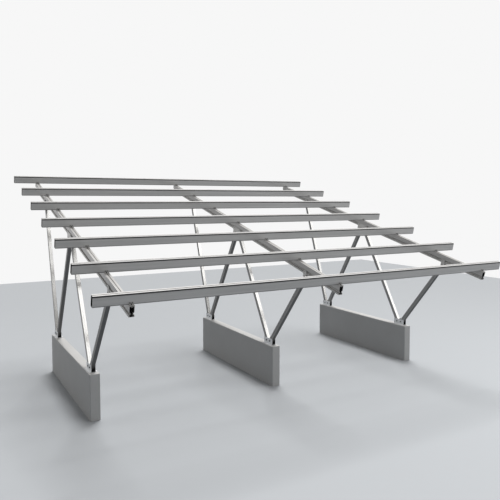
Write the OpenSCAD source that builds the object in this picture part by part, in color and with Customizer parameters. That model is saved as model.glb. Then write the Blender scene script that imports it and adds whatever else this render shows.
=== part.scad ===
// Solar carport frame. Seven slotted purlins lie on three sloping rafters. Each rafter hangs
// on three brackets over a W of four struts, whose feet stand on a concrete footing wall.
// X runs along the purlins, Y from the low eave to the high one, Z up from the ground.

/* [Roof] */
// Slope of the rafters, in degrees
roof_tilt = 14.3; // [8:0.1:18]
// Height of the front purlin's lower front edge above the ground
eave_height = 1975; // [1700:5:2500]
// Distance between the rafters
frame_pitch = 3090; // [2400:10:3400]
// Rafter left bare in front of the first purlin
front_overhang = 48; // [44:1:120]
// Rafter left bare behind the last purlin
rear_overhang = 12; // [0:1:120]

/* [Purlins] */
// Length of a purlin
purlin_length = 7080; // [6900:10:7600]
// Distance from one purlin to the next, up the slope
purlin_pitch = 1050; // [900:5:1200]
// Width of a purlin, up the slope
purlin_w = 70; // [60:1:90]
// Depth of a purlin
purlin_h = 140; // [100:1:180]
// Wall of a purlin
purlin_wall = 3; // [2.5:0.1:4]
// Mouth of the slot along the purlin's top
purlin_mouth = 12; // [10:0.5:14]
// Thickness of the lips beside that mouth
purlin_lip = 3.5; // [3:0.1:5]
// Width of the room under the lips
purlin_room = 24; // [20:0.5:26]
// Depth of the room under the lips
purlin_room_h = 11; // [8:0.5:16]
// Middle of the groove in each face, below the top
groove_drop = 11; // [10:0.5:16]
// Width of that groove
groove_w = 14; // [8:0.5:15]
// Depth of that groove
groove_d = 8; // [4:0.5:8]

/* [Rafters] */
// Width of a rafter over its foot and its top plate
rafter_w = 70; // [66:1:90]
// Depth of a rafter
rafter_h = 140; // [130:1:170]
// Wall of a rafter
rafter_wall = 3.5; // [3:0.1:4.5]
// Width of the upper chamber
rafter_box = 64; // [58:1:66]
// Width of the neck that the brackets hook into
neck_w = 36; // [32:1:40]
// Depth of the neck's upper end below the rafter's top
neck_top = 93; // [90:1:96]
// Depth of the neck's lower end below the rafter's top
neck_bottom = 108; // [107:1:112]
// Fall of the foot flange from the neck to its edge
flange_fall = 5; // [3:0.5:8]
// Thickness of the top plate
plate_t = 4; // [3:0.1:6]
// Mouth of the slot along the rafter's top
rafter_mouth = 10; // [9:0.5:12]
// Width of the room under that slot's lips
rafter_room = 20; // [18:0.5:24]
// Depth of the room under that slot's lips
rafter_room_h = 8; // [7:0.5:12]

/* [Struts] */
// Width of a strut, across the frame
strut_w = 58; // [40:1:60]
// Depth of a strut, in the plane of its frame
strut_d = 70; // [50:1:72]
// Wall of a strut
strut_wall = 3; // [2.5:0.1:4]
// Width of the flute along each face
flute_w = 12; // [8:1:16]
// Depth of the flute along each face
flute_d = 1.2; // [0.5:0.1:1.5]
// Strut left past its upper bolt
strut_head_end = 20; // [18:1:30]
// Strut left past its lower bolt
strut_foot_end = 25; // [18:1:35]
// Least gap between the struts of a pair and its bracket or foot
pair_gap = 14; // [10:1:40]

/* [Brackets] */
// Distance from the front face of the first purlin to the front bracket, up the slope
front_station = 810; // [600:5:1000]
// Distance from the rear bracket to the back face of the last purlin, up the slope
rear_station = 1090; // [900:5:1300]
// How far the middle bracket lies behind the middle of the other two
middle_shift = 60; // [0:5:120]
// Length of a bracket for one strut
short_bracket = 80; // [70:1:120]
// Length of the middle bracket past the bolts of its two struts
bracket_end = 90; // [50:1:120]
// Thickness of the web under the rafter
bracket_web = 5; // [4:0.5:8]
// Thickness of the arms beside the rafter's foot
bracket_arm = 5; // [4:0.5:8]
// Height of the arms above the web
arm_h = 60; // [50:1:70]
// Thickness of the legs beside the struts
bracket_leg = 6; // [4:0.5:8]
// Length of the legs past the strut bolts
leg_end = 26; // [20:1:40]
// Thickness of the lips that hook into the rafter's neck
hook_t = 4; // [3:0.5:4.5]
// Free height between a hook's two lips
hook_gap = 7; // [6:0.5:8]

/* [Feet] */
// Thickness of the channel's sides
foot_wall = 6; // [4:0.5:8]
// Thickness of the channel's floor
foot_floor = 8; // [6:0.5:12]
// Height of the channel
foot_h = 108; // [95:1:140]
// Width of the flange on each side
flange_reach = 30; // [20:1:35]
// Thickness of the flange at its edge
flange_edge = 6; // [4:0.5:8]
// Foot left past each strut bolt
foot_end = 80; // [60:1:110]
// Distance from an anchor to the end of its foot
anchor_inset = 30; // [20:1:35]
// Drain gap under the struts' ends
drain_gap = 9; // [5:1:20]

/* [Footings] */
// Thickness of a footing wall
footing_w = 150; // [140:5:300]
// Length of a footing wall
footing_l = 2800; // [2600:10:3400]
// Height of a footing wall above the ground
footing_h = 690; // [500:5:800]
// Bevel of its edges
footing_bevel = 8; // [4:1:12]
// Distance from a foot to the end of its footing
foot_inset = 80; // [50:5:200]
// How far the footings' middle lies behind the roof's middle
footing_shift = 14; // [0:1:50]

/* [Cleats] */
// Width of a cleat, along the purlin
cleat_w = 50; // [40:1:60]
// Length of the cleat's leaf on the rafter
cleat_l = 40; // [36:1:42]
// Height of the cleat's leaf on the purlin
cleat_h = 35; // [32:1:50]
// Thickness of the leaf on the rafter
cleat_base = 5; // [4:0.5:8]
// Thickness of the leaf on the purlin
cleat_leaf = 4; // [3:0.5:6]

/* [Fasteners] */
// Diameter of the strut bolts
strut_bolt_d = 12; // [10:1:14]
// Diameter of the anchor studs
anchor_d = 12; // [10:1:14]
// Depth of an anchor stud in the concrete
anchor_depth = 100; // [80:5:120]
// Diameter of the self-drilling screws
screw_d = 5.5; // [4.8:0.1:6.3]
// Length of a screw's tip past the wall that it grips
screw_tip = 4; // [2:0.5:8]
// Thickness of the anchors' washers
washer_t = 3; // [2:0.5:5]

/* [Fits] */
// Clearance of a strut in its channel and of a rafter's foot in its bracket, each side
slide_fit = 0.3; // [0.2:0.05:0.6]
// Clearance of a bolt in its hole, all round
bolt_fit = 0.3; // [0.2:0.05:0.6]
// Clearance of a thread in what it grips, all round
thread_fit = 0.1; // [0.05:0.01:0.15]
// Play of a hammer head and its shank in the rafter's slot, each side
slot_fit = 0.5; // [0.3:0.1:0.8]

/* [Hidden] */
$fn = 32;

// Frames by their place along X, purlins by their count up the slope
LEFT = -1;
MIDDLE = 0;
RIGHT = 1;
FRAMES = [LEFT, MIDDLE, RIGHT];
last_purlin = 6;

// The roof from the first purlin's front face to the last one's back, up the slope
roof_run = last_purlin * purlin_pitch + purlin_w;
rafter_length = front_overhang + roof_run + rear_overhang;
rear_tip = roof_run + rear_overhang;

// The whole part's middle over the ground is Y = 0, so the eave lies in front of it
front_y = min(-front_overhang * cos(roof_tilt), -purlin_h * sin(roof_tilt));
rear_y = rear_tip * cos(roof_tilt) + rafter_h * sin(roof_tilt);
eave_y = -(front_y + rear_y) / 2;

// Struts: a corner's distance from its bolt sets how near the bolts may lie
head_reach = norm([strut_head_end, strut_d / 2]);
foot_reach = norm([strut_foot_end, strut_d / 2]);
pin_pitch = 2 * max(head_reach, foot_reach) + pair_gap;
head_gap = 1;
pin_drop = rafter_h + bracket_web + head_gap + head_reach;
pin_height = footing_h + foot_floor + drain_gap + foot_reach;

// Channels that the struts stand in
channel_in = strut_w / 2 + slide_fit;
foot_out = channel_in + foot_wall;
foot_half = foot_out + flange_reach;
foot_length = pin_pitch + 2 * foot_end;
foot_front_y = footing_shift - footing_l / 2 + foot_inset + foot_length / 2;
foot_rear_y = footing_shift + footing_l / 2 - foot_inset - foot_length / 2;
FEET = [foot_front_y, foot_rear_y];
anchor_pitch = foot_length - 2 * anchor_inset;
root = 4;

// Brackets, by their distance up the slope
front_s = front_station;
rear_s = roof_run - rear_station;
middle_s = (front_s + rear_s) / 2 + middle_shift;
long_bracket = pin_pitch + 2 * bracket_end;
leg_out = channel_in + bracket_leg;
arm_in = rafter_w / 2 + slide_fit;
arm_out = arm_in + bracket_arm;

// Slopes of the rafter's shoulder and foot flange, and what its wall takes from them
flange_slope = flange_fall / ((rafter_w - neck_w) / 2);
shoulder_top = neck_top - (rafter_box - neck_w) / 2;
shoulder_in = rafter_wall * (sqrt(2) - 1);
flange_in = rafter_wall * sqrt(1 + flange_slope * flange_slope);

// Hooks, measured down from the rafter's top like the neck
hook_tip = neck_w / 2 + slide_fit;
hook_seat = neck_bottom - slide_fit;
hook_outer = neck_bottom + flange_fall - slide_fit;
hook_screw = hook_seat - hook_t - hook_gap / 2;

// Pins of the struts: [Y of the lower bolt, distance up the slope of the upper one]
STRUTS = [
    [foot_front_y - pin_pitch / 2, front_s],
    [foot_front_y + pin_pitch / 2, middle_s - pin_pitch / 2],
    [foot_rear_y - pin_pitch / 2, middle_s + pin_pitch / 2],
    [foot_rear_y + pin_pitch / 2, rear_s]
];
SCREW_ROWS = [front_s, middle_s - pin_pitch / 2 - bracket_end / 2,
    middle_s + pin_pitch / 2 + bracket_end / 2, rear_s];

// Slot bolts and screws of a cleat
slot_bolt_d = rafter_mouth - 2 * (slot_fit + 0.5);
hammer_t = 5;
cleat_bolt_s = -(cleat_leaf + flange_across(slot_bolt_d) / 2 + 3);
cleat_screw_x = cleat_w / 2 - 9;
cleat_screw_n = cleat_h - 11;
cut = 1;

CONCRETE = "#8f8f8b";
ALUMINIUM = "#b9bcbe";
STEEL = "#5b5d60";

function slope_y(s, n) = eave_y + s * cos(roof_tilt) - n * sin(roof_tilt);
function slope_z(s, n) = eave_height + s * sin(roof_tilt) + n * cos(roof_tilt);
function across_flats(d) = 1.5 * d + 1;
function flange_across(d) = 2.1 * d;
function mirrored(half) =
    concat(half, [for (i = [len(half) - 1:-1:0]) [-half[i].x, half[i].y]]);

// Places
module at_frame(side) {
    translate([side * frame_pitch, 0, 0]) children();
}

module on_slope() {
    translate([0, eave_y, eave_height]) rotate([roof_tilt, 0, 0]) children();
}

module along_y(from, to) {
    translate([0, to, 0]) rotate([90, 0, 0]) linear_extrude(height = to - from) children();
}

module along_x(length) {
    rotate([90, 0, 90]) linear_extrude(height = length, center = true) children();
}

// Round bar or hole along X, centred
module cross_bar(d, length) {
    rotate([0, 90, 0]) cylinder(d = d, h = length, center = true);
}

// Lower and upper strut bolts of a frame
module at_strut_bolts() {
    for (pins = STRUTS) {
        translate([0, pins[0], pin_height]) children();
        translate([0, slope_y(pins[1], -pin_drop), slope_z(pins[1], -pin_drop)]) children();
    }
}

module at_anchors(centre_y) {
    for (end = [-1, 1])
        translate([0, centre_y + end * anchor_pitch / 2, footing_h]) children();
}

// Screws of the brackets, on both sides of a frame's rafter; +X points outwards
module at_bracket_screws() {
    for (s = SCREW_ROWS, turn = [0, 180])
        on_slope() translate([0, s, -hook_screw]) rotate([0, 0, turn]) children();
}

module at_cleats(side) {
    for (i = [0:last_purlin])
        at_frame(side) on_slope() translate([0, i * purlin_pitch, 0]) children();
}

module at_cleat_screws() {
    for (side = [-1, 1])
        translate([side * cleat_screw_x, 0, cleat_screw_n]) children();
}

// Concrete footing wall with bevelled edges, drilled for the anchors
module footing(side) {
    color(CONCRETE) at_frame(side) difference() {
        intersection() {
            translate([0, footing_shift, 0]) linear_extrude(height = footing_h)
                bevelled(footing_w, footing_l, footing_bevel);
            along_y(footing_shift - footing_l, footing_shift + footing_l)
                bevelled_top(footing_w, footing_h, footing_bevel);
            translate([0, footing_shift, 0]) along_x(2 * footing_w)
                bevelled_top(footing_l, footing_h, footing_bevel);
        }
        for (y = FEET)
            at_anchors(y) translate([0, 0, -anchor_depth - thread_fit])
                cylinder(d = anchor_d + 2 * thread_fit, h = anchor_depth + thread_fit + cut);
    }
}

module bevelled(w, l, c) {
    polygon(mirrored([
        [w / 2 - c, -l / 2], [w / 2, -l / 2 + c], [w / 2, l / 2 - c], [w / 2 - c, l / 2]
    ]));
}

module bevelled_top(w, h, c) {
    polygon(mirrored([[w / 2, 0], [w / 2, h - c], [w / 2 - c, h]]));
}

// Extruded channel foot: tapered flanges, two walls for the struts, an anchor at each end
module foot(side, centre_y) {
    color(ALUMINIUM) at_frame(side) difference() {
        translate([0, 0, footing_h])
            along_y(centre_y - foot_length / 2, centre_y + foot_length / 2) foot_profile();
        for (end = [-1, 1])
            translate([0, centre_y + end * pin_pitch / 2, pin_height])
                cross_bar(strut_bolt_d + 2 * bolt_fit, 2 * foot_half);
        at_anchors(centre_y) translate([0, 0, -cut])
            cylinder(d = anchor_d + 2 * bolt_fit, h = foot_floor + 2 * cut);
    }
}

module foot_profile() {
    polygon(mirrored([
        [foot_half, 0],
        [foot_half, flange_edge],
        [foot_out + root, foot_floor + cut],
        [foot_out, foot_floor + cut + root],
        [foot_out, foot_h],
        [channel_in, foot_h],
        [channel_in, foot_floor]
    ]));
}

// Fluted rectangular tube between two bolts, its ends cut square
module strut(side, index) {
    pins = STRUTS[index];
    rise = slope_z(pins[1], -pin_drop) - pin_height;
    run = slope_y(pins[1], -pin_drop) - pins[0];
    reach = norm([run, rise]);
    color(ALUMINIUM) at_frame(side)
        translate([0, pins[0], pin_height]) rotate([-atan2(run, rise), 0, 0]) difference() {
            translate([0, 0, -strut_foot_end])
                linear_extrude(height = reach + strut_foot_end + strut_head_end) strut_profile();
            for (z = [0, reach])
                translate([0, 0, z]) cross_bar(strut_bolt_d + 2 * bolt_fit, 2 * strut_w);
        }
}

module strut_profile() {
    difference() {
        bevelled(strut_w, strut_d, strut_wall / 2);
        square([strut_w - 2 * strut_wall, strut_d - 2 * strut_wall], center = true);
        for (x = [-1, 1]) translate([x * strut_w / 2, 0]) flute();
        for (y = [-1, 1]) translate([0, y * strut_d / 2]) rotate(90) flute();
    }
}

module flute() {
    polygon([
        [-flute_d, -flute_w / 2 + flute_d], [0, -flute_w / 2], [flute_d, -flute_w / 2 + flute_d],
        [flute_d, flute_w / 2 - flute_d], [0, flute_w / 2], [-flute_d, flute_w / 2 - flute_d]
    ]);
}

// Bracket extrusion: arms with lips that hook over the rafter's foot, legs for the struts
module bracket(side, centre_s, length) {
    color(ALUMINIUM) at_frame(side) difference() {
        on_slope() along_y(centre_s - length / 2, centre_s + length / 2) bracket_profile();
        at_strut_bolts() cross_bar(strut_bolt_d + 2 * bolt_fit, 2 * arm_out);
        at_bracket_screws() translate([arm_out / 2 + hook_tip / 2, 0, 0])
            cross_bar(screw_d + 2 * thread_fit, arm_out - hook_tip + 2 * cut);
    }
}

module bracket_profile() {
    polygon(mirrored([
        [arm_in, -rafter_h],
        [arm_in, -hook_outer],
        [hook_tip, -hook_seat],
        [hook_tip, -hook_seat + hook_t],
        [arm_in, -hook_seat + hook_t],
        [arm_in, -hook_seat + hook_t + hook_gap],
        [hook_tip, -hook_seat + hook_t + hook_gap],
        [hook_tip, -hook_seat + 2 * hook_t + hook_gap],
        [arm_in, -hook_seat + 2 * hook_t + hook_gap],
        [arm_in, -rafter_h + arm_h],
        [arm_out, -rafter_h + arm_h],
        [arm_out, -rafter_h - bracket_web],
        [leg_out + root, -rafter_h - bracket_web],
        [leg_out, -rafter_h - bracket_web - root],
        [leg_out, -pin_drop - leg_end],
        [channel_in, -pin_drop - leg_end],
        [channel_in, -rafter_h - bracket_web]
    ]));
}

// Hollow rafter: slotted top plate, upper chamber, neck and flared foot in one extrusion
module rafter(side) {
    color(ALUMINIUM) at_frame(side) difference() {
        on_slope() along_y(-front_overhang, rear_tip) rafter_profile();
        at_bracket_screws() translate([neck_w / 2, 0, 0])
            cross_bar(screw_d + 2 * thread_fit, neck_w / 2);
    }
}

module rafter_profile() {
    difference() {
        polygon(mirrored([
            [rafter_w / 2, 0],
            [rafter_w / 2, -plate_t],
            [rafter_box / 2, -plate_t],
            [rafter_box / 2, -shoulder_top],
            [neck_w / 2, -neck_top],
            [neck_w / 2, -neck_bottom],
            [rafter_w / 2, -neck_bottom - flange_fall],
            [rafter_w / 2, -rafter_h]
        ]));
        polygon(mirrored([
            [rafter_room / 2 + rafter_wall, -plate_t - rafter_room_h - rafter_wall],
            [rafter_room / 2 + rafter_wall, -plate_t],
            [rafter_box / 2 - rafter_wall, -plate_t],
            [rafter_box / 2 - rafter_wall, -shoulder_top + shoulder_in],
            [neck_w / 2 - rafter_wall, -neck_top + shoulder_in],
            [neck_w / 2 - rafter_wall,
                -neck_bottom + rafter_wall * flange_slope - flange_in],
            [rafter_w / 2 - rafter_wall,
                -neck_bottom - flange_fall + rafter_wall * flange_slope - flange_in],
            [rafter_w / 2 - rafter_wall, -rafter_h + rafter_wall]
        ]));
        slot_profile(rafter_mouth, plate_t, rafter_room, rafter_room_h);
    }
}

// Slot with lips, cut down from the top at height 0
module slot_profile(mouth, lip, room, room_h) {
    polygon(mirrored([
        [mouth / 2, cut],
        [mouth / 2, -lip],
        [room / 2, -lip],
        [room / 2, -lip - room_h]
    ]));
}

// Hollow purlin: slot along the top, a groove along each face, screwed at each rafter
module purlin(index) {
    color(ALUMINIUM) on_slope() translate([0, index * purlin_pitch, 0]) difference() {
        translate([0, purlin_w / 2, 0]) along_x(purlin_length) purlin_profile();
        for (side = FRAMES)
            translate([side * frame_pitch, 0, 0]) at_cleat_screws() rotate([90, 0, 0])
                cylinder(d = screw_d + 2 * thread_fit, h = 2 * purlin_wall + cut, center = true);
    }
}

module purlin_profile() {
    bevel = purlin_wall / 2;
    difference() {
        polygon(mirrored([
            [purlin_w / 2 - bevel, 0],
            [purlin_w / 2, bevel],
            [purlin_w / 2, purlin_h - groove_drop - groove_w / 2],
            [purlin_w / 2 - groove_d, purlin_h - groove_drop - groove_w / 2],
            [purlin_w / 2 - groove_d, purlin_h - groove_drop + groove_w / 2],
            [purlin_w / 2, purlin_h - groove_drop + groove_w / 2],
            [purlin_w / 2, purlin_h - bevel],
            [purlin_w / 2 - bevel, purlin_h]
        ]));
        polygon(mirrored([
            [purlin_room / 2 + purlin_wall, purlin_h - purlin_lip - purlin_room_h - purlin_wall],
            [purlin_room / 2 + purlin_wall, purlin_h - purlin_lip],
            [purlin_w / 2 - groove_d - purlin_wall, purlin_h - purlin_lip],
            [purlin_w / 2 - groove_d - purlin_wall, purlin_h - groove_drop - groove_w / 2 - purlin_wall],
            [purlin_w / 2 - purlin_wall, purlin_h - groove_drop - groove_w / 2 - purlin_wall],
            [purlin_w / 2 - purlin_wall, purlin_wall]
        ]));
        translate([0, purlin_h]) slot_profile(purlin_mouth, purlin_lip, purlin_room, purlin_room_h);
    }
}

// L-shaped cleats: one leaf on the rafter, one on the purlin's front face
module cleats() {
    color(ALUMINIUM) for (side = FRAMES) at_cleats(side) difference() {
        along_x(cleat_w) polygon([
            [-cleat_l, 0],
            [0, 0],
            [0, cleat_h],
            [-cleat_leaf, cleat_h],
            [-cleat_leaf, cleat_base + cut],
            [-cleat_leaf - cut, cleat_base],
            [-cleat_l, cleat_base]
        ]);
        translate([0, cleat_bolt_s, -cut])
            cylinder(d = slot_bolt_d + 2 * bolt_fit, h = cleat_base + 2 * cut);
        at_cleat_screws() rotate([90, 0, 0])
            cylinder(d = screw_d + 2 * thread_fit, h = 3 * cleat_leaf, center = true);
    }
}

// Hammer-head bolts: the head lies across the rafter's slot, under its lips
module slot_bolts() {
    head_l = rafter_room - 2 * slot_fit;
    color(STEEL) for (side = FRAMES) at_cleats(side) translate([0, cleat_bolt_s, 0]) union() {
        translate([0, 0, -plate_t - hammer_t]) intersection() {
            translate([0, 0, hammer_t / 2])
                cube([head_l, rafter_mouth - 2 * slot_fit, hammer_t], center = true);
            cylinder(d = head_l, h = hammer_t);
        }
        translate([0, 0, -plate_t])
            cylinder(d = slot_bolt_d, h = plate_t + cleat_base + slot_bolt_d + root);
    }
}

module slot_nuts() {
    color(STEEL) for (side = FRAMES) at_cleats(side)
        translate([0, cleat_bolt_s, cleat_base]) flange_nut(slot_bolt_d);
}

// Flange nut standing on Z = 0
module flange_nut(d) {
    difference() {
        hex_body(d, d);
        translate([0, 0, -cut]) cylinder(d = d + 2 * thread_fit, h = d + 2 * cut);
    }
}

// Hexagon of height h on a thin round flange
module hex_body(d, h) {
    cylinder(d = across_flats(d) / cos(30), h = h, $fn = 6);
    cylinder(d = flange_across(d), h = d / 6);
}

// Self-drilling screw along +X: shank inside, head outside at X = 0
module screw(grip) {
    rotate([0, 90, 0]) union() {
        translate([0, 0, -grip]) cylinder(d = screw_d, h = grip, $fn = 16);
        hex_body(screw_d, screw_d);
    }
}

module cleat_screws() {
    color(STEEL) for (side = FRAMES) at_cleats(side) at_cleat_screws()
        translate([0, -cleat_leaf, 0]) rotate([0, 0, -90])
            screw(cleat_leaf + purlin_wall + screw_tip);
}

module bracket_screws() {
    color(STEEL) for (side = FRAMES) at_frame(side) at_bracket_screws()
        translate([arm_out, 0, 0]) screw(arm_out - neck_w / 2 + rafter_wall + screw_tip);
}

// Strut bolts run across the frame, heads on the left and nuts on the right
module strut_bolts() {
    color(STEEL) for (side = FRAMES) at_frame(side) at_strut_bolts()
        translate([-leg_out, 0, 0]) rotate([0, 90, 0]) union() {
            cylinder(d = strut_bolt_d, h = leg_out + foot_out + strut_bolt_d + root);
            mirror([0, 0, 1]) hex_body(strut_bolt_d, 2 * strut_bolt_d / 3);
        }
}

module strut_nuts() {
    color(STEEL) for (side = FRAMES) at_frame(side) at_strut_bolts()
        translate([leg_out, 0, 0]) rotate([0, 90, 0]) flange_nut(strut_bolt_d);
}

// Anchors: stud in the concrete, washer on the foot's floor, nut on the washer
module anchor_studs() {
    top = foot_floor + washer_t + anchor_d + root;
    color(STEEL) for (side = FRAMES, y = FEET) at_frame(side) at_anchors(y)
        translate([0, 0, -anchor_depth]) cylinder(d = anchor_d, h = anchor_depth + top);
}

module anchor_washers() {
    color(STEEL) for (side = FRAMES, y = FEET) at_frame(side) at_anchors(y)
        translate([0, 0, foot_floor]) difference() {
            cylinder(d = 3 * anchor_d, h = washer_t);
            translate([0, 0, -cut]) cylinder(d = anchor_d + 2 * bolt_fit, h = washer_t + 2 * cut);
        }
}

module anchor_nuts() {
    color(STEEL) for (side = FRAMES, y = FEET) at_frame(side) at_anchors(y)
        translate([0, 0, foot_floor + washer_t]) flange_nut(anchor_d);
}

footing(LEFT);  // footing_left
footing(MIDDLE);  // footing_middle
footing(RIGHT);  // footing_right
foot(LEFT, foot_front_y);  // foot_left_front
foot(LEFT, foot_rear_y);  // foot_left_rear
foot(MIDDLE, foot_front_y);  // foot_middle_front
foot(MIDDLE, foot_rear_y);  // foot_middle_rear
foot(RIGHT, foot_front_y);  // foot_right_front
foot(RIGHT, foot_rear_y);  // foot_right_rear
strut(LEFT, 0);  // strut_left_1
strut(LEFT, 1);  // strut_left_2
strut(LEFT, 2);  // strut_left_3
strut(LEFT, 3);  // strut_left_4
strut(MIDDLE, 0);  // strut_middle_1
strut(MIDDLE, 1);  // strut_middle_2
strut(MIDDLE, 2);  // strut_middle_3
strut(MIDDLE, 3);  // strut_middle_4
strut(RIGHT, 0);  // strut_right_1
strut(RIGHT, 1);  // strut_right_2
strut(RIGHT, 2);  // strut_right_3
strut(RIGHT, 3);  // strut_right_4
bracket(LEFT, front_s, short_bracket);  // bracket_left_front
bracket(LEFT, middle_s, long_bracket);  // bracket_left_middle
bracket(LEFT, rear_s, short_bracket);  // bracket_left_rear
bracket(MIDDLE, front_s, short_bracket);  // bracket_middle_front
bracket(MIDDLE, middle_s, long_bracket);  // bracket_middle_middle
bracket(MIDDLE, rear_s, short_bracket);  // bracket_middle_rear
bracket(RIGHT, front_s, short_bracket);  // bracket_right_front
bracket(RIGHT, middle_s, long_bracket);  // bracket_right_middle
bracket(RIGHT, rear_s, short_bracket);  // bracket_right_rear
rafter(LEFT);  // rafter_left
rafter(MIDDLE);  // rafter_middle
rafter(RIGHT);  // rafter_right
purlin(0);  // purlin_1
purlin(1);  // purlin_2
purlin(2);  // purlin_3
purlin(3);  // purlin_4
purlin(4);  // purlin_5
purlin(5);  // purlin_6
purlin(6);  // purlin_7
cleats();
slot_bolts();
slot_nuts();
cleat_screws();
bracket_screws();
strut_bolts();
strut_nuts();
anchor_studs();
anchor_washers();
anchor_nuts();
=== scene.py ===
"""Solar carport frame: bare aluminium extrusions on concrete footing walls, on a plain floor."""
import math

import bmesh
import bpy
from mathutils import Matrix, Quaternion, Vector


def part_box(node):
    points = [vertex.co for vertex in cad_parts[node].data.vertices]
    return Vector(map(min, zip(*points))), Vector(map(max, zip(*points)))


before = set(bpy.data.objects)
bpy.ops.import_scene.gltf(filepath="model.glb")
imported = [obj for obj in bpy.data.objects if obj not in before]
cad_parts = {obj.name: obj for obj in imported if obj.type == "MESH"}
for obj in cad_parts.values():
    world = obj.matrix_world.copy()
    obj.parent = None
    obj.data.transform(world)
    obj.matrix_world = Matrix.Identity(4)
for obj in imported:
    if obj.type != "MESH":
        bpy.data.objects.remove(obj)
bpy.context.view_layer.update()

MM = 0.001

# Where the roof lies, in metres: its slope, and the lower front edge of the first purlin
ROOF_TILT = math.radians(14.3)
EAVE_Y = -3.08616
EAVE_Z = 1.975
FRAME_PITCH = 3.09
PURLIN_PITCH = 1.05
PURLIN_HALF_WIDTH = 35 * MM

# The hollows, in millimetres: half the width, then the lowest and highest point. Heights are
# off the rafters' slope, and the foot's above the ground.
PURLIN_GROOVES = (34.7, 122.2, 135.8)
PURLIN_CHAMBER = (32.3, 2.7, 119.5)
RAFTER_BOX = (28.8, -88, -15)
RAFTER_NECK = (14.8, -137, -80)
BRACKET_GAP = (29.6, -400, -144.5)
FOOT_GAP = (29.6, 697, 900)

# Heights off the slope, in millimetres, where a dark line of painted shade runs: along the
# purlins' lower edge, around their groove, and on the struts' ends between the brackets' legs
PURLIN_FOOT_LINE = (-10, 11)
PURLIN_GROOVE_LINE = (117, 139.8)
STRUT_HEAD_LINE = (-207, -100)
PAINTED_SHADE_TONE = "#5c5c5b"
PAINTED_SHADE_STRENGTH = 0.7

# Tone and roughness of the metal where shade is painted: near-black in the hollows, and on the
# struts a duller finish on the fluted sides and a darker tone on the undersides. The flutes make
# the sides rougher; their loss of shine is painted shade
SHADE_IN_HOLLOWS = ("#111213", 1.0)
FLUTED_SIDES_DULL_AND_SHADED = ("#a9a8a6", 0.6)
UNDERSIDES_SHADE = ("#727170", 0.6)


# Colour and node helpers

def linear(hex_code):
    """Linear colour of an sRGB hex value."""
    parts = [int(hex_code[i:i + 2], 16) / 255 for i in (1, 3, 5)]
    return [c / 12.92 if c <= 0.04045 else ((c + 0.055) / 1.055) ** 2.4 for c in parts] + [1.0]


def every(millimetres):
    """Scale of a pattern that repeats about every so many millimetres."""
    return 1 / (millimetres * MM)


def add(tree, kind, inputs=None, **settings):
    """Adds a node: inputs maps a socket to a value or to the socket that feeds it."""
    made = tree.nodes.new("ShaderNode" + kind)
    for name, value in settings.items():
        setattr(made, name, value)
    for socket, value in (inputs or {}).items():
        if isinstance(value, bpy.types.NodeSocket):
            tree.links.new(value, made.inputs[socket])
        else:
            made.inputs[socket].default_value = value
    return made


def combine(tree, operation, first, second):
    """One number made from two."""
    return add(tree, "Math", {0: first, 1: second}, operation=operation).outputs[0]


def ramp(tree, factor, low, high):
    """Blends between two colours along a factor."""
    return add(tree, "Mix", {0: factor, 6: low, 7: high}, data_type="RGBA").outputs[2]


def new_material(name):
    """A material with its node tree and its shader."""
    material = bpy.data.materials.new(name)
    material.use_nodes = True
    tree = material.node_tree
    return material, tree, tree.nodes["Principled BSDF"]


# Masks: places on the pieces where shade is painted onto the metal

def within(tree, value, low, high):
    """1 where a value in metres lies between two given in millimetres."""
    return add(tree, "Math", {0: value, 1: (low + high) / 2 * MM, 2: (high - low) / 2 * MM},
               operation="COMPARE").outputs[0]


def hollow(tree, across, height, half_width, low, high):
    """1 inside a hollow, from how far a place lies off its middle and how high it lies."""
    return combine(tree, "MULTIPLY", within(tree, across, -half_width, half_width),
                   within(tree, height, low, high))


def from_nearest(tree, value, pitch):
    """Distance from the nearest of a row of pieces that stand a pitch apart."""
    return add(tree, "Math", {0: value, 1: pitch / 2, 2: -pitch / 2},
               operation="WRAP").outputs[0]


def roof_axes(tree, place):
    """Distances along the purlins, up the slope from the first one, and off the slope."""
    turn = Matrix.Rotation(-ROOF_TILT, 3, "X")
    start = turn @ Vector((0, EAVE_Y, EAVE_Z)) + Vector((0, PURLIN_HALF_WIDTH, 0))
    axes = add(tree, "Mapping", {"Vector": place, "Location": -start,
                                 "Rotation": (-ROOF_TILT, 0, 0)})
    return add(tree, "SeparateXYZ", {0: axes.outputs[0]}).outputs


def inside_purlin(tree, place):
    """The grooves in the faces, and the chamber, painted near-black as shade."""
    _, slope, height = roof_axes(tree, place)
    across = from_nearest(tree, slope, PURLIN_PITCH)
    return combine(tree, "MAXIMUM", hollow(tree, across, height, *PURLIN_GROOVES),
                   hollow(tree, across, height, *PURLIN_CHAMBER))


def inside_rafter(tree, place):
    """The chambers of the box and the neck, painted near-black as shade."""
    x, _, height = roof_axes(tree, place)
    across = from_nearest(tree, x, FRAME_PITCH)
    return combine(tree, "MAXIMUM", hollow(tree, across, height, *RAFTER_BOX),
                   hollow(tree, across, height, *RAFTER_NECK))


def inside_bracket(tree, place):
    """Between the legs, where the struts end, painted near-black as shade."""
    x, _, height = roof_axes(tree, place)
    return hollow(tree, from_nearest(tree, x, FRAME_PITCH), height, *BRACKET_GAP)


def inside_foot(tree, place):
    """Between the sides of the channel, painted near-black as shade."""
    x, _, z = add(tree, "SeparateXYZ", {0: place}).outputs
    return hollow(tree, from_nearest(tree, x, FRAME_PITCH), z, *FOOT_GAP)


def facing(tree):
    """The way that a face looks, along X, Y and Z."""
    return add(tree, "SeparateXYZ", {0: add(tree, "TexCoord").outputs["Normal"]}).outputs


def fluted_sides(tree, _):
    """The faces of a strut that look along the purlins: rougher for their flutes, and duller and
    darker as painted shade.
    """
    along = facing(tree)[0]
    return combine(tree, "GREATER_THAN", combine(tree, "MULTIPLY", along, along), 0.5)


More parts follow.
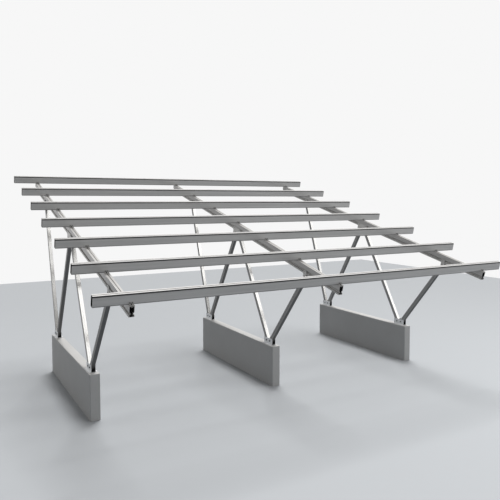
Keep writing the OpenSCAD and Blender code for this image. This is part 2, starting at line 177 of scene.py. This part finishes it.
def undersides(tree, _):
    """The faces of a strut that look down, painted darker as shade."""
    return combine(tree, "LESS_THAN", facing(tree)[2], -0.1)


def strut_heads(tree, place):
    """The ends of the struts between the brackets' legs, where a dark line of painted shade runs.
    """
    return within(tree, roof_axes(tree, place)[2], *STRUT_HEAD_LINE)


def purlin_edges(tree, place):
    """Along the lower edge, and around the groove, where a dark line of painted shade runs."""
    height = roof_axes(tree, place)[2]
    return combine(tree, "MAXIMUM", within(tree, height, *PURLIN_FOOT_LINE),
                   within(tree, height, *PURLIN_GROOVE_LINE))


# Materials

def extruded_aluminium(name, turn, base, streak, metallic, smooth=0.3, dull_and_shaded=(), shade_line=None):
    """Mill-finish aluminium as it leaves the die: satin, with faint lines along its length.

    The real lines are under 1 mm apart; they are drawn about 22 mm apart so that they show.
    turn brings the piece's length onto the pattern's Z. The last two arguments list where shade is
    painted:
    places where the metal is darker and duller, with the tone and roughness there, and a dark
    shade line."""
    material, tree, shader = new_material(name)
    place = add(tree, "TexCoord").outputs["Object"]
    turned = add(tree, "Mapping", {"Vector": place, "Rotation": turn})
    along = add(tree, "Mapping", {"Vector": turned.outputs[0], "Scale": (1, 1, 0.01)})
    lines = add(tree, "TexNoise", {"Vector": along.outputs[0], "Scale": every(22), "Detail": 2.0})
    cloud = add(tree, "TexNoise", {"Vector": place, "Scale": every(590), "Detail": 4.0})
    spread = add(tree, "MapRange", {"Value": lines.outputs[0], "From Min": 0.35, "From Max": 0.65})
    tone = ramp(tree, spread.outputs[0], linear(base), linear(streak))
    rough = add(tree, "MapRange", {"Value": cloud.outputs[0], "From Min": 0.3, "From Max": 0.7,
                                   "To Min": smooth, "To Max": smooth + 0.1}).outputs[0]
    # Painted shade: a dark line along the purlins' edges and groove, and on the struts' ends
    if shade_line:
        line = combine(tree, "MULTIPLY", shade_line(tree, place), PAINTED_SHADE_STRENGTH)
        tone = ramp(tree, line, tone, linear(PAINTED_SHADE_TONE))
    shine = metallic
    # Painted shade: the metal is darkened and loses its shine in the hollows and on the struts'
    # sides and undersides
    for shade_place, shade_tone, dull_rough in dull_and_shaded:
        mask = shade_place(tree, place)
        tone = ramp(tree, mask, tone, linear(shade_tone))
        rough = combine(tree, "MAXIMUM", rough, combine(tree, "MULTIPLY", mask, dull_rough))
        shine = combine(tree, "MULTIPLY", shine, combine(tree, "SUBTRACT", 1.0, mask))
    if dull_and_shaded:
        tree.links.new(shine, shader.inputs["Metallic"])
    else:
        shader.inputs["Metallic"].default_value = metallic
    tree.links.new(tone, shader.inputs["Base Color"])
    tree.links.new(rough, shader.inputs["Roughness"])
    return material


def cast_concrete():
    """Grey concrete struck from smooth shuttering: matte, cloudy, with small air holes.

    The holes are drawn about 45 mm apart and 6 mm wide, coarser than most, so that they show."""
    material, tree, shader = new_material("cast_concrete")
    place = add(tree, "TexCoord").outputs["Object"]
    cloud = add(tree, "TexNoise", {"Vector": place, "Scale": every(625), "Detail": 6.0})
    grain = add(tree, "TexNoise", {"Vector": place, "Scale": every(4.5), "Detail": 2.0})
    holes = add(tree, "TexVoronoi", {"Vector": place, "Scale": every(45)})
    hole = add(tree, "MapRange", {"Value": holes.outputs["Distance"], "From Min": 0.05,
                                  "From Max": 0.09}).outputs[0]
    tone = ramp(tree, cloud.outputs[0], linear("#cbcac8"), linear("#bdbcba"))
    tone = ramp(tree, hole, linear("#8c8c8b"), tone)
    tree.links.new(tone, shader.inputs["Base Color"])
    shader.inputs["Roughness"].default_value = 0.9
    relief = add(tree, "Bump", {"Height": combine(tree, "ADD", grain.outputs[0], hole),
                                "Strength": 0.4, "Distance": 0.8 * MM})
    tree.links.new(relief.outputs[0], shader.inputs["Normal"])
    return material


def black_zinc_steel():
    """Bolts and nuts of steel under black-passivated zinc: half shiny, slightly uneven."""
    material, tree, shader = new_material("black_zinc_steel")
    place = add(tree, "TexCoord").outputs["Object"]
    patina = add(tree, "TexNoise", {"Vector": place, "Scale": every(11), "Detail": 3.0})
    tone = ramp(tree, patina.outputs[0], linear("#2f3133"), linear("#1d1e20"))
    tree.links.new(tone, shader.inputs["Base Color"])
    shader.inputs["Metallic"].default_value = 0.6
    shader.inputs["Roughness"].default_value = 0.45
    return material


def lean(node_name, reach=0.03):
    """Angle from the upright, towards +Y, of the strut in a node."""
    low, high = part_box(node_name)
    points = [v.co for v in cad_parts[node_name].data.vertices]
    foot = [p.y for p in points if p.z < low.z + reach]
    head = [p.y for p in points if p.z > high.z - reach]
    return math.atan2(sum(head) / len(head) - sum(foot) / len(foot), high.z - low.z)


along_x = (0, math.radians(-90), 0)
along_y = (math.radians(90), 0, 0)
along_slope = (math.radians(90) - ROOF_TILT, 0, 0)

fastener = black_zinc_steel()
finishes = {
    "footing": cast_concrete(),
    "cleats": extruded_aluminium("mill_aluminium_cleat", along_x, "#b0afad", "#a6a5a3", 0.3),
    "purlin": extruded_aluminium("mill_aluminium_purlin", along_x, "#c8c6c4", "#bcbbb9", 0.2,
                                 dull_and_shaded=[(inside_purlin, *SHADE_IN_HOLLOWS)], shade_line=purlin_edges),
    "rafter": extruded_aluminium("mill_aluminium_rafter", along_slope, "#bdbbb8", "#b1afac", 0.2,
                                 dull_and_shaded=[(inside_rafter, *SHADE_IN_HOLLOWS)]),
    "bracket": extruded_aluminium("mill_aluminium_bracket", along_slope, "#c4c2bf", "#b9b7b4",
                                  0.3, dull_and_shaded=[(inside_bracket, *SHADE_IN_HOLLOWS)]),
    "foot": extruded_aluminium("mill_aluminium_foot", along_y, "#dcdddd", "#cfd0d2", 0.6,
                               dull_and_shaded=[(inside_foot, *SHADE_IN_HOLLOWS)]),
}
# The four struts of a frame each lean their own way, and their die lines with them
for number in "1234":
    finishes["strut_" + number] = extruded_aluminium(
        "mill_aluminium_strut_" + number, (lean("strut_middle_" + number), 0, 0),
        "#a6a5a3", "#9c9b99", 0.85, smooth=0.14, shade_line=strut_heads,
        dull_and_shaded=[(fluted_sides, *FLUTED_SIDES_DULL_AND_SHADED), (undersides, *UNDERSIDES_SHADE)])


def finish_for(name):
    """The finish of a node, from its kind, and for a strut from its number too."""
    kind, last = name.split("_")[0], name.split("_")[-1]
    if last in ("bolts", "nuts", "screws", "studs", "washers"):
        return fastener
    return finishes["strut_" + last if kind == "strut" else kind]


for name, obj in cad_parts.items():
    obj.data.materials.clear()
    obj.data.materials.append(finish_for(name))


# Floor and background

def seen_rays(tree):
    """1 for what the eye sees straight, in metal or through glass."""
    path = add(tree, "LightPath").outputs
    straight = combine(tree, "MAXIMUM", path["Is Camera Ray"], path["Is Glossy Ray"])
    return combine(tree, "MAXIMUM", straight, path["Is Transmission Ray"])


def pale_floor():
    """Plain pale floor paint, the same all over, that throws little light up at the frame."""
    material, tree, shader = new_material("pale_floor")
    tone = ramp(tree, seen_rays(tree), linear("#626a72"), linear("#a9acaf"))
    tree.links.new(tone, shader.inputs["Base Color"])
    shader.inputs["Roughness"].default_value = 0.7
    return material


def plain_stage(half_width=15.0, half_depth=13.75, drop=1 * MM):
    """A flat floor just under the footings."""
    mesh = bpy.data.meshes.new("floor")
    build = bmesh.new()
    bmesh.ops.create_grid(build, x_segments=1, y_segments=1, size=1.0)
    bmesh.ops.scale(build, verts=build.verts, vec=(half_width, half_depth, 1.0))
    bmesh.ops.translate(build, verts=build.verts, vec=(0, 0, -drop))
    build.to_mesh(mesh)
    build.free()
    floor = bpy.data.objects.new("floor", mesh)
    bpy.context.scene.collection.objects.link(floor)
    mesh.materials.append(pale_floor())


def studio_world():
    """Weak even light from all round, and a near-white background."""
    world = bpy.data.worlds.new("studio")
    bpy.context.scene.world = world
    world.use_nodes = True
    tree = world.node_tree
    tree.nodes.clear()
    light = add(tree, "Background", {"Color": linear("#ffffff"), "Strength": 0.2})
    back = add(tree, "Background", {"Color": linear("#f7f7f7"), "Strength": 1.0})
    both = add(tree, "MixShader", {0: seen_rays(tree), 1: light.outputs[0], 2: back.outputs[0]})
    add(tree, "OutputWorld", {"Surface": both.outputs[0]})


plain_stage()
studio_world()


# Lamps

def lamp(name, kind, place, target, energy, roll=0, **settings):
    """A lamp that looks from one place to another, rolled by some degrees about that line."""
    data = bpy.data.lights.new(name, kind)
    data.energy = energy
    for key, value in settings.items():
        setattr(data, key, value)
    obj = bpy.data.objects.new(name, data)
    bpy.context.scene.collection.objects.link(obj)
    obj.location = place
    aim = (Vector(target) - Vector(place)).to_track_quat("-Z", "Y")
    obj.rotation_euler = (aim @ Quaternion((0, 0, 1), math.radians(roll))).to_euler()


lamp("sun_behind", "SUN", (3, 4, 12), (0, 0, 0), 3.0, angle=math.radians(25))
# Rolled so that the struts that lean back mirror it along their length
lamp("front_softbox", "AREA", (5.2, -7.4, 8.8), (0.5, 0, 1.5), 570, roll=-22,
     shape="RECTANGLE", size=13.5, size_y=4.8)
lamp("left_fill", "AREA", (-9, 5, 3), (-3, 0, 0.5), 60, shape="DISK", size=4)


# Camera, fitted to the photograph

SENSOR_WIDTH = 36
FOCAL_PIXELS = 565.41
IMAGE_PIXELS = 500
PITCH_DOWN = 3.39
TURN_RIGHT = 30.145

camera_data = bpy.data.cameras.new("camera")
camera = bpy.data.objects.new("camera", camera_data)
bpy.context.scene.collection.objects.link(camera)
bpy.context.scene.camera = camera
camera.location = (-5.1336, -9.4576, 3.1968)
camera.rotation_euler = (math.radians(90 - PITCH_DOWN), 0, math.radians(-TURN_RIGHT))
camera_data.sensor_width = SENSOR_WIDTH
camera_data.lens = FOCAL_PIXELS / IMAGE_PIXELS * SENSOR_WIDTH
camera_data.shift_x = -0.0074
camera_data.shift_y = -0.0338
camera_data.clip_end = 200

bpy.context.scene.view_settings.view_transform = "Standard"
